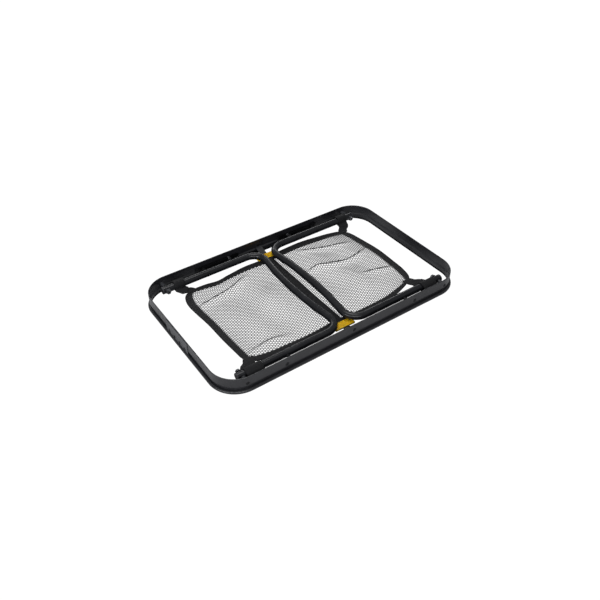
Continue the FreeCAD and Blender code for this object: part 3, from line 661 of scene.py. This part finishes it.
def stitch_row(name, centres, ways, ups):
    """A row of thread stitches: one small rounded bead, copied along the row."""
    bpy.ops.object.select_all(action="DESELECT")
    bpy.ops.mesh.primitive_uv_sphere_add(segments=6, ring_count=4, radius=0.5)
    bead = bpy.context.object
    shape = np.array([v.co for v in bead.data.vertices], float)
    shape = shape[:, [2, 0, 1]] * (STITCH_LENGTH, STITCH_THICK, STITCH_THICK)
    bead_faces = [tuple(p.vertices) for p in bead.data.polygons]
    bpy.data.objects.remove(bead)
    points, faces = [], []
    for middle, way, up in zip(centres, ways, ups):
        side_way = np.cross(up, way)
        first = len(points) * len(shape)
        points.append(middle + shape @ np.array([way, side_way, up]))
        faces += [tuple(first + k for k in face) for face in bead_faces]
    made = new_piece(name, np.vstack(points), faces)
    outward(made)
    return made


tape = woven("binding_tape", TAPE_DARK, TAPE_LIGHT, 1.3 * MM, 0.9 * MM, 0.62)
thread = Finish("sewing_thread", 0.5, Sheen_Weight=0.2)
ply = thread.noise(thread.place(), 2600.0, 2.0)
thread.colour(thread.ramp(ply, [(0.35, THREAD_DARK), (0.65, THREAD_LIGHT)]))
thread.gloss(ply, 0.40, 0.62)
thread.relief(ply, 0.08 * MM, 0.8)

for side, cloth in cloths.items():
    inset = TAPE_WIDTH / 2
    right, high = cloth.width - inset, cloth.length - inset
    route = [(0.0, inset), (right - TAPE_CORNER, inset)]
    for k in range(1, TURN_STEPS + 1):
        turn = math.radians(90 * k / TURN_STEPS)
        route.append((right - TAPE_CORNER + TAPE_CORNER * math.sin(turn),
                      inset + TAPE_CORNER - TAPE_CORNER * math.cos(turn)))
    route.append((right, high - TAPE_CORNER))
    for k in range(1, TURN_STEPS + 1):
        turn = math.radians(90 * k / TURN_STEPS)
        route.append((right - TAPE_CORNER + TAPE_CORNER * math.cos(turn),
                      high - TAPE_CORNER + TAPE_CORNER * math.sin(turn)))
    route.append((0.0, high))
    route = np.array(route)
    run = run_along(route)
    stations = int(run[-1] / TAPE_STEP)
    along = np.linspace(0, run[-1], stations)
    middle = np.stack([np.interp(along, run, route[:, k]) for k in (0, 1)], 1)
    way = np.gradient(middle, axis=0)
    way /= np.linalg.norm(way, axis=1, keepdims=True)
    out = np.stack([way[:, 1], -way[:, 0]], 1)
    section = strip_section(TAPE_WIDTH, TAPE_THICK)
    rings = []
    for a, b in section:
        flat = middle + out * a
        rings.append(cloth.at(flat[:, 0], flat[:, 1], b))
    points = np.stack(rings, 1).reshape(-1, 3)
    binding = new_piece(f"net_tape_{side}", points, strip_faces(stations, len(section)),
                        strip_uvs(along, section))
    outward(binding)
    binding.data.materials.append(tape.material)
    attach(binding, "frame")
    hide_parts(f"net_binding_{side}")

    places = np.arange(STITCH_PITCH, run[-1] - STITCH_PITCH, STITCH_PITCH)
    seam = middle - out * TAPE_STITCH_OFFSET
    spots, ways, ups = [], [], []
    for lift in (TAPE_THICK / 2 + 0.05, -TAPE_THICK / 2 - 0.05):
        for step in (-0.3, 0.3):
            flat = np.stack([np.interp(places + step, along, seam[:, k]) for k in (0, 1)], 1)
            if step < 0:
                before = cloth.at(flat[:, 0], flat[:, 1], lift)
            else:
                after = cloth.at(flat[:, 0], flat[:, 1], lift)
        heading = (after - before) / np.linalg.norm(after - before, axis=1, keepdims=True)
        spots.append((after + before) / 2)
        ways.append(heading)
        up = np.tile((0.0, 0.0, 1.0), (len(heading), 1))
        up -= heading * (up * heading).sum(1, keepdims=True)
        ups.append(up / np.linalg.norm(up, axis=1, keepdims=True))
    stitches = stitch_row(f"tape_stitches_{side}", np.vstack(spots), np.vstack(ways), np.vstack(ups))
    stitches.data.materials.append(thread.material)
    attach(stitches, "frame")

# ---------------------------------------------------------------- middle band
# One length of ribbed webbing lies between the two panels, which are sewn to its edges, and
# is caught by a clip at each rail.
BAND_RIB = 1.6
BAND_THICK = 1.5
BAND_BOW = 1.5
BAND_STATIONS = 150
BAND_STITCH_OFFSET = 9.4
BAND_STITCH_END = 26.0
band_low, band_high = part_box("centre_band")
band_half = (band_high.x - band_low.x) / 2 / MM
band_end = band_high.y / MM
band_mid = (band_high.z + band_low.z) / 2 / MM
band_webbing = woven("band_webbing", TAPE_DARK, TAPE_LIGHT, BAND_RIB * MM, 1.1 * MM, 0.6)
along = np.linspace(-band_end, band_end, BAND_STATIONS)
band_section = strip_section(2 * band_half, BAND_THICK)
sag = 1.0 - (along / band_end) ** 4
points = []
for y, s in zip(along, sag):
    for a, b in band_section:
        z = band_mid + b + 0.5 * s * math.sin(y / 26.0) + 0.25 * s * math.sin(a / 5.0)
        points.append((a - BAND_BOW * s, y, z))
band = new_piece("middle_band", points, strip_faces(BAND_STATIONS, len(band_section)),
                 strip_uvs(along, band_section))
outward(band)
band.data.materials.append(band_webbing.material)
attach(band, "frame")
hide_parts("centre_band")

places = np.arange(-band_end + BAND_STITCH_END, band_end - BAND_STITCH_END, STITCH_PITCH)
spots = []
for offset in (-BAND_STITCH_OFFSET, BAND_STITCH_OFFSET):
    for lift in (0.8, -0.8):
        spots.append(np.stack([offset - BAND_BOW * (1.0 - (places / band_end) ** 4), places,
                               band_mid + lift + 0.5 * np.sin(places / 26.0)
                               + 0.25 * math.sin(offset / 5.0)], 1))
spots = np.vstack(spots)
band_stitches = stitch_row("band_stitches", spots, np.tile((0.0, 1.0, 0.0), (len(spots), 1)),
                           np.tile((0.0, 0.0, 1.0), (len(spots), 1)))
band_stitches.data.materials.append(thread.material)
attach(band_stitches, "frame")

# ---------------------------------------------------------------- corner straps
# From each corner of the net a strap of black webbing goes up to the arm of the leg, round the
# tube beside the pivot and back down on itself, where it is sewn.
STRAP_THICK = 1.4
STRAP_AT_NET = 26.0
STRAP_STATIONS = 110
LOOP_SLACK = 8.0
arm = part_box("right_leg_tube")
tube_radius = (arm[1].z - arm[0].z) / 2 / MM
arm_y = arm[1].y / MM - tube_radius
arm_z = (arm[1].z + arm[0].z) / 2 / MM
LOOP_RADIUS = tube_radius + STRAP_THICK / 2 + 0.25
# for each corner: where it is sewn to the net, the middle of its loop, and the loop's width
STRAPS = {
    "left_front": ((-247.0, -135.0), -262.0, 44.0),
    "left_rear": ((-236.0, 150.0), -257.0, 29.0),
    "right_front": ((238.0, -129.0), 258.0, 42.0),
    "right_rear": ((241.0, 137.0), 264.0, 29.0),
}
strap_webbing = woven("strap_webbing", TAPE_DARK, TAPE_LIGHT, 1.5 * MM, 1.0 * MM, 0.64)
for corner, ((net_x, net_y), loop_x, loop_wide) in STRAPS.items():
    side, rail = corner.split("_")
    out = RAILS[rail]
    start = abs(net_y)
    # the strap's line seen along the tube: outwards from the middle of the rack, and up
    line = [(start, NET_Z + 1.2), (start + 6, NET_Z + 1.6), (start + 14, NET_Z + 2.0)]
    line += [(arm_y - 14.0, NET_Z + 2.6), (arm_y - 7.0, arm_z - LOOP_RADIUS - 0.9)]
    for degrees in range(-90, 196, 15):
        across, up = math.cos(math.radians(degrees)), math.sin(math.radians(degrees))
        line.append((arm_y + (LOOP_RADIUS + LOOP_SLACK * max(across, 0.0)) * across,
                     arm_z + (LOOP_RADIUS + 1.5 * max(up, 0.0)) * up))
    line += [(arm_y - 12.5, arm_z - 6.4), (arm_y - 17.0, NET_Z + 5.0), (arm_y - 23.0, NET_Z + 4.2)]
    strap_line = smooth_line(line, STRAP_STATIONS)
    climb = np.clip((strap_line[:, 0] - start) / (arm_y - 10 - start), 0, 1)
    climb = climb * climb * (3 - 2 * climb)
    middle = np.stack([net_x + (loop_x - net_x) * climb, out * strap_line[:, 0], strap_line[:, 1]], 1)
    plan_way = np.array([loop_x - net_x, out * (arm_y - start)])
    plan_way /= np.linalg.norm(plan_way)
    flat_side = np.array([abs(plan_way[1]), -plan_way[0] * np.sign(plan_way[1]), 0.0])
    side_ways = (1 - climb[:, None]) * flat_side + climb[:, None] * np.array([1.0, 0.0, 0.0])
    heading = np.gradient(middle, axis=0)
    heading /= np.linalg.norm(heading, axis=1, keepdims=True)
    side_ways -= heading * (side_ways * heading).sum(1, keepdims=True)
    side_ways /= np.linalg.norm(side_ways, axis=1, keepdims=True)
    face_ways = np.cross(heading, side_ways)
    wide = STRAP_AT_NET + (loop_wide - STRAP_AT_NET) * climb
    pinch = 1.0 - 0.16 * np.exp(-((climb - 0.45) / 0.2) ** 2)
    points = []
    for i in range(len(middle)):
        for a, b in strip_section(wide[i] * pinch[i], STRAP_THICK):
            ripple = 0.35 * math.sin(a / 4.0 + i / 9.0) * climb[i] * (1 - climb[i]) * 4
            points.append(middle[i] + side_ways[i] * a + face_ways[i] * (b + ripple))
    # the weave is spaced round the strap as it is on the middle band
    strap = new_piece(f"net_strap_{corner}", np.array(points),
                      strip_faces(STRAP_STATIONS, len(band_section)),
                      strip_uvs(run_along(strap_line), band_section))
    outward(strap)
    strap.data.materials.append(strap_webbing.material)
    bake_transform(strap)
    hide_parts(f"corner_strap_{corner}", f"{side}_strap_loops")

# ---------------------------------------------------------------- clips and tabs
# A ribbed clip of yellow plastic holds each end of the middle band. Its top is a shallow tray
# with a raised edge and crossed ribs. A bent black tab, riveted to the rail, runs into it.
CLIP_YELLOW = (0.95, 0.60, 0.006, 1)
CLIP_DEEP = (0.89, 0.54, 0.005, 1)
TRAY_DEPTH = 1.5
TRAY_EDGE = 1.8
TRAY_HOLLOW = 0.9
RIB_WIDTH = 1.3
RIB_SHY = 0.4
RIB_SINK = 0.1
RIB_CELLS = 4

clip_plastic = Finish("clip_plastic", 0.38, Subsurface_Weight=0.12, Subsurface_Scale=0.004,
                      Subsurface_Radius=(1.0, 0.5, 0.1))
place = clip_plastic.place()
clip_plastic.colour(clip_plastic.ramp(clip_plastic.noise(place, 90.0, 4.0),
                                      [(0.30, CLIP_DEEP), (0.62, CLIP_YELLOW)]))
clip_plastic.gloss(clip_plastic.noise(place, 240.0, 3.0), 0.30, 0.48)
clip_plastic.relief(clip_plastic.noise(place, 1400.0, 2.0), 0.05 * MM, 0.6)


def edit_block(name, low, high):
    """A block between two corners in metres, left in edit mode with nothing selected."""
    bpy.ops.object.select_all(action="DESELECT")
    middle = (Vector(low) + Vector(high)) / 2
    bpy.ops.mesh.primitive_cube_add(size=1.0, location=middle, scale=Vector(high) - Vector(low))
    made = bpy.context.object
    made.name = name
    bpy.ops.object.transform_apply(location=True, rotation=True, scale=True)
    bpy.ops.object.mode_set(mode="EDIT")
    bpy.ops.mesh.select_mode(type="FACE")
    bpy.ops.mesh.select_all(action="DESELECT")
    return made


def pick_faces(piece, wanted):
    """Selects the faces, in edit mode, that pass a test."""
    work = bmesh.from_edit_mesh(piece.data)
    bpy.ops.mesh.select_all(action="DESELECT")
    for face in work.faces:
        if wanted(face):
            face.select_set(True)
    bmesh.update_edit_mesh(piece.data)


for rail, out in RAILS.items():
    low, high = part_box(f"net_clip_{rail}")
    body = edit_block(f"band_clip_{rail}", low, high)
    pick_faces(body, lambda face: face.normal.z > 0.9)
    bpy.ops.mesh.inset(thickness=TRAY_EDGE * MM, depth=0)
    bpy.ops.mesh.extrude_region_move(TRANSFORM_OT_translate={"value": (0, 0, -TRAY_DEPTH * MM)})
    pick_faces(body, lambda face: face.normal.z < -0.9)
    bpy.ops.mesh.inset(thickness=TRAY_EDGE * MM, depth=0)
    bpy.ops.mesh.extrude_region_move(TRANSFORM_OT_translate={"value": (0, 0, TRAY_HOLLOW * MM)})
    bpy.ops.object.mode_set(mode="OBJECT")
    ribs = []
    cell = (high.x - low.x - 2 * TRAY_EDGE * MM) / RIB_CELLS
    deep = high.y - low.y - 2 * TRAY_EDGE * MM
    slant = math.atan2(deep, cell)
    reach = 0.5 * math.hypot(cell, deep) - RIB_SHY * MM
    half_rib = 0.5 * RIB_WIDTH * MM
    tray_floor = high.z - TRAY_DEPTH * MM - RIB_SINK * MM
    for k in range(RIB_CELLS):
        for way in (-1, 1):
            rib = edit_block("rib", (-reach, -half_rib, 0),
                             (reach, half_rib, (TRAY_DEPTH - 0.25) * MM))
            bpy.ops.object.mode_set(mode="OBJECT")
            place_rib = Matrix.Translation((low.x + TRAY_EDGE * MM + cell * (k + 0.5),
                                            (low.y + high.y) / 2, tray_floor))
            rib.data.transform(place_rib @ Matrix.Rotation(way * slant, 4, "Z"))
            ribs.append(rib)
        if k:
            wall_x = low.x + TRAY_EDGE * MM + cell * k
            wall = edit_block("rib", (wall_x - half_rib, low.y + TRAY_EDGE * MM, tray_floor),
                              (wall_x + half_rib, high.y - TRAY_EDGE * MM, high.z - 0.3 * MM))
            bpy.ops.object.mode_set(mode="OBJECT")
            ribs.append(wall)
    bpy.ops.object.select_all(action="DESELECT")
    for rib in ribs:
        rib.select_set(True)
    body.select_set(True)
    bpy.context.view_layer.objects.active = body
    bpy.ops.object.join()
    soft_edge = body.modifiers.new("soft_edge", "BEVEL")
    soft_edge.width = 0.35 * MM
    soft_edge.segments = 2
    finish_modifiers(body)
    body.data.polygons.foreach_set("use_smooth", [True] * len(body.data.polygons))
    bpy.ops.object.select_all(action="DESELECT")
    body.select_set(True)
    bpy.context.view_layer.objects.active = body
    bpy.ops.object.shade_smooth_by_angle(angle=math.radians(35))
    body.data.materials.clear()
    body.data.materials.append(clip_plastic.material)
    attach(body, "frame")
    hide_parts(f"net_clip_{rail}")

tab_paint = Finish("tab_enamel", 0.4, Coat_Weight=0.2)
place = tab_paint.place()
tab_paint.colour(tab_paint.ramp(tab_paint.noise(place, 45.0, 5.0),
                                [(0.30, ENAMEL_DEEP), (0.72, ENAMEL_THIN)]))
tab_paint.gloss(tab_paint.noise(place, 120.0, 4.0), 0.32, 0.50)
tab_paint.relief(tab_paint.noise(place, 700.0, 2.0), 0.05 * MM, 0.5)
dress(["tab_front", "tab_rear"], tab_paint)
